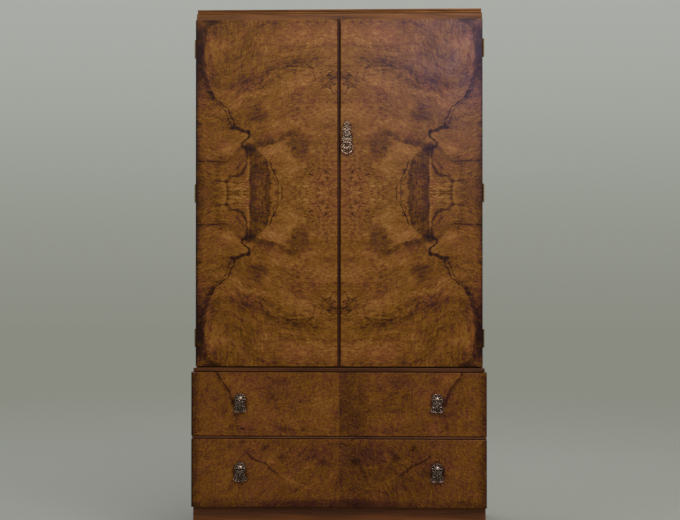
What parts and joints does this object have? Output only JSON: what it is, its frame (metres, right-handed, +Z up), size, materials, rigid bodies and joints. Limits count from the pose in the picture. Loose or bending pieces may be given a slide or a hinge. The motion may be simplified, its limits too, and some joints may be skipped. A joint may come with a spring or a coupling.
{
  "type": "tallboy",
  "caption": "Tall walnut cupboard with hinged doors and shelves, standing on wide sliding drawers and a plinth, with pierced drop pulls.",
  "frame": {"origin": "on the floor, under the middle of the whole tallboy, pulls included", "axes": "+Z up, +Y to the back (against the wall), +X to the right as seen from the front"},
  "size_m": [0.762, 0.4596, 1.3715],
  "materials": {
    "burr_walnut": "polished book-matched burr veneer",
    "straight_walnut": "polished straight-grained walnut",
    "dark_bead": "dark stained and polished",
    "inner_wood": "thinly stained softwood",
    "back_ply": "thinly stained plywood",
    "drawer_oak": "waxed oak",
    "aged_brass": "tarnished cast brass",
    "hinge_brass": "dulled rolled brass",
    "lock_steel": "dull steel"
  },
  "bodies": {
    "carcass": {"plinth_front": "straight_walnut", "plinth_sides": "straight_walnut", "plinth_back": "inner_wood", "plinth_blocks": "inner_wood", "lower_side_left": "straight_walnut", "lower_side_right": "straight_walnut", "lower_bottom": "inner_wood", "lower_back": "back_ply", "divider_rail": "straight_walnut", "lower_top_rail": "straight_walnut", "drawer_runners": "inner_wood", "drawer_kickers": "inner_wood", "waist_board": "straight_walnut", "upper_side_left": "straight_walnut", "upper_side_right": "straight_walnut", "upper_bottom": "inner_wood", "inner_top": "inner_wood", "bolt_keepers": "hinge_brass", "upper_back": "back_ply", "frieze_board": "straight_walnut", "top_slab": "straight_walnut", "lower_shelf": "inner_wood", "upper_shelf": "inner_wood", "shelf_bearers": "inner_wood", "hinge_carcass_leaves": "hinge_brass", "hinge_pins": "hinge_brass", "hinge_carcass_screws": "hinge_brass"},
    "left_door": {"left_door_panel": "burr_walnut", "meeting_bead": "dark_bead", "lock_strike": "hinge_brass", "left_bolt_cases": "hinge_brass", "left_hinge_leaves": "hinge_brass", "left_door_screws": "hinge_brass"},
    "right_door": {"right_door_panel": "burr_walnut", "lock_case": "hinge_brass", "door_pull_plate": "aged_brass", "door_pull_post": "aged_brass", "right_hinge_leaves": "hinge_brass", "right_door_screws": "hinge_brass"},
    "lock_bolt": {"lock_bolt": "lock_steel"},
    "top_bolt": {"top_bolt": "hinge_brass"},
    "bottom_bolt": {"bottom_bolt": "hinge_brass"},
    "door_pendant": {"door_pendant": "aged_brass"},
    "lower_drawer": {"lower_drawer_front": "burr_walnut", "lower_drawer_sides": "drawer_oak", "lower_drawer_back": "drawer_oak", "lower_drawer_bottom": "drawer_oak", "lower_drawer_pull_plates": "aged_brass", "lower_drawer_pull_posts": "aged_brass"},
    "lower_drawer_pendant_left": {"lower_drawer_pendant_left": "aged_brass"},
    "lower_drawer_pendant_right": {"lower_drawer_pendant_right": "aged_brass"},
    "upper_drawer": {"upper_drawer_front": "burr_walnut", "upper_drawer_sides": "drawer_oak", "upper_drawer_back": "drawer_oak", "upper_drawer_bottom": "drawer_oak", "upper_drawer_pull_plates": "aged_brass", "upper_drawer_pull_posts": "aged_brass"},
    "upper_drawer_pendant_left": {"upper_drawer_pendant_left": "aged_brass"},
    "upper_drawer_pendant_right": {"upper_drawer_pendant_right": "aged_brass"}
  },
  "joints": [
    {"name": "left_door_swing", "type": "hinge", "parent": "carcass", "child": "left_door", "pos_m": [-0.3738, -0.19085, 0.8925], "axis": [0, 0, -1], "range_deg": [0, 180]},
    {"name": "right_door_swing", "type": "hinge", "parent": "carcass", "child": "right_door", "pos_m": [0.3738, -0.19085, 0.8925], "axis": [0, 0, 1], "range_deg": [0, 180]},
    {"name": "lock_bolt_slide", "type": "slide", "parent": "right_door", "child": "lock_bolt", "axis": [-1, 0, 0], "range_m": [0, 0.008]},
    {"name": "top_bolt_slide", "type": "slide", "parent": "left_door", "child": "top_bolt", "axis": [0, 0, 1], "range_m": [0, 0.012]},
    {"name": "bottom_bolt_slide", "type": "slide", "parent": "left_door", "child": "bottom_bolt", "axis": [0, 0, -1], "range_m": [0, 0.012]},
    {"name": "door_pendant_swing", "type": "hinge", "parent": "right_door", "child": "door_pendant", "pos_m": [0.0215, -0.21665, 1.0389], "axis": [-1, 0, 0], "range_deg": [0, 85]},
    {"name": "lower_drawer_slide", "type": "slide", "parent": "carcass", "child": "lower_drawer", "axis": [0, -1, 0], "range_m": [0, 0.3]},
    {"name": "lower_drawer_pendant_left_swing", "type": "hinge", "parent": "lower_drawer", "child": "lower_drawer_pendant_left", "pos_m": [-0.254, -0.22665, 0.182], "axis": [-1, 0, 0], "range_deg": [0, 85]},
    {"name": "lower_drawer_pendant_right_swing", "type": "hinge", "parent": "lower_drawer", "child": "lower_drawer_pendant_right", "pos_m": [0.254, -0.22665, 0.182], "axis": [-1, 0, 0], "range_deg": [0, 85]},
    {"name": "upper_drawer_slide", "type": "slide", "parent": "carcass", "child": "upper_drawer", "axis": [0, -1, 0], "range_m": [0, 0.3]},
    {"name": "upper_drawer_pendant_left_swing", "type": "hinge", "parent": "upper_drawer", "child": "upper_drawer_pendant_left", "pos_m": [-0.254, -0.22665, 0.36], "axis": [-1, 0, 0], "range_deg": [0, 85]},
    {"name": "upper_drawer_pendant_right_swing", "type": "hinge", "parent": "upper_drawer", "child": "upper_drawer_pendant_right", "pos_m": [0.254, -0.22665, 0.36], "axis": [-1, 0, 0], "range_deg": [0, 85]}
  ]
}
